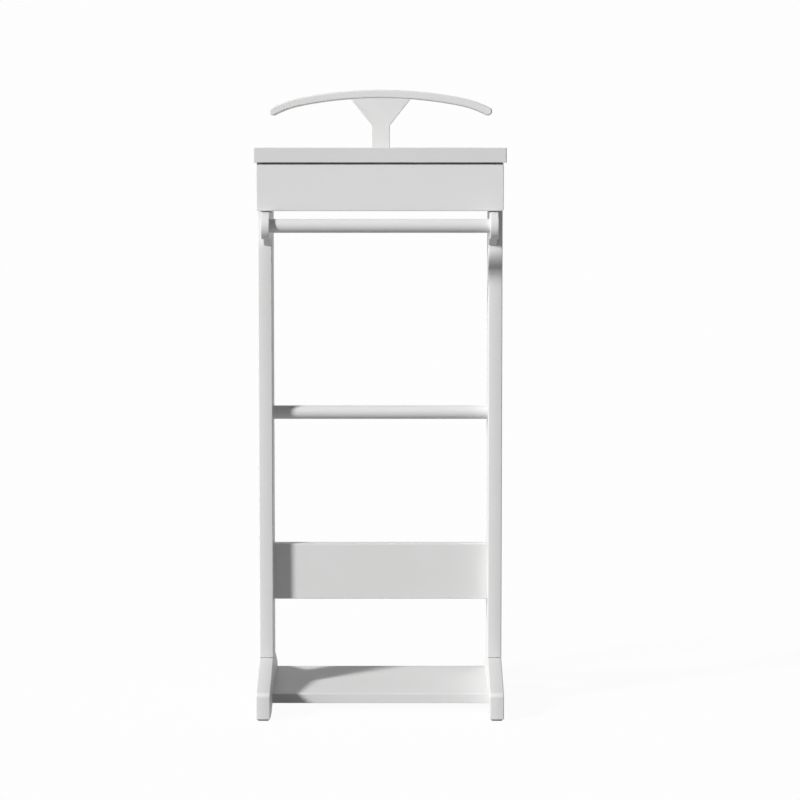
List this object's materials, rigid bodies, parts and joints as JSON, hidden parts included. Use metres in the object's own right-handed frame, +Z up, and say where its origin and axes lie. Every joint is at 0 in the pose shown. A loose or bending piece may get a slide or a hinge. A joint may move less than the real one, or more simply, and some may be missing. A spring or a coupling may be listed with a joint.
{
  "type": "valet stand",
  "caption": "Freestanding valet stand in white lacquered wood: coat hanger, top case with a drawer, trouser bar, lower bar, cross panel and sloping shoe shelf.",
  "frame": {"origin": "centre of the bounding box's base, on the floor between the feet", "axes": "+Z up, -Y towards the front where the trouser bar and the drawer are, +X to the right seen from the front"},
  "size_m": [0.456, 0.312, 1.136],
  "materials": {
    "white_lacquer": "satin white lacquer over smooth board, softened edges",
    "birch_ply": "clear matt varnish on pale birch",
    "beech": "bare planed beech",
    "screw_steel": "bright zinc plate",
    "cap_plastic": "moulded, slightly matt",
    "grey_felt": "pressed wool felt"
  },
  "bodies": {
    "stand": {"case_back": "white_lacquer", "case_bottom": "white_lacquer", "case_left_side": "white_lacquer", "case_right_side": "white_lacquer", "cross_panel": "white_lacquer", "hanger_board": "white_lacquer", "hanger_screw_lower": "screw_steel", "hanger_screw_upper": "screw_steel", "left_arm_dowel_lower": "beech", "left_arm_dowel_upper": "beech", "left_bar_arm": "white_lacquer", "left_case_screw_front": "screw_steel", "left_case_screw_rear": "screw_steel", "left_foot": "white_lacquer", "left_foot_screw_front": "screw_steel", "left_foot_screw_rear": "screw_steel", "left_glide_front": "grey_felt", "left_glide_rear": "grey_felt", "left_panel_cap_lower": "cap_plastic", "left_panel_cap_upper": "cap_plastic", "left_panel_screw_lower": "screw_steel", "left_panel_screw_upper": "screw_steel", "left_runner": "beech", "left_shelf_cap_front": "cap_plastic", "left_shelf_cap_rear": "cap_plastic", "left_shelf_screw_front": "screw_steel", "left_shelf_screw_rear": "screw_steel", "left_upright": "white_lacquer", "lower_bar": "white_lacquer", "right_arm_dowel_lower": "beech", "right_arm_dowel_upper": "beech", "right_bar_arm": "white_lacquer", "right_case_screw_front": "screw_steel", "right_case_screw_rear": "screw_steel", "right_foot": "white_lacquer", "right_foot_screw_front": "screw_steel", "right_foot_screw_rear": "screw_steel", "right_glide_front": "grey_felt", "right_glide_rear": "grey_felt", "right_panel_cap_lower": "cap_plastic", "right_panel_cap_upper": "cap_plastic", "right_panel_screw_lower": "screw_steel", "right_panel_screw_upper": "screw_steel", "right_runner": "beech", "right_shelf_cap_front": "cap_plastic", "right_shelf_cap_rear": "cap_plastic", "right_shelf_screw_front": "screw_steel", "right_shelf_screw_rear": "screw_steel", "right_upright": "white_lacquer", "shoe_shelf": "white_lacquer", "shoulder_rail": "white_lacquer", "top_board": "white_lacquer", "trouser_bar": "white_lacquer"},
    "drawer": {"drawer_back": "birch_ply", "drawer_bottom": "birch_ply", "drawer_front": "white_lacquer", "drawer_left_side": "birch_ply", "drawer_right_side": "birch_ply"}
  },
  "joints": [
    {"name": "drawer_slide", "type": "slide", "parent": "stand", "child": "drawer", "axis": [0, -1, 0], "range_m": [0, 0.095]}
  ]
}
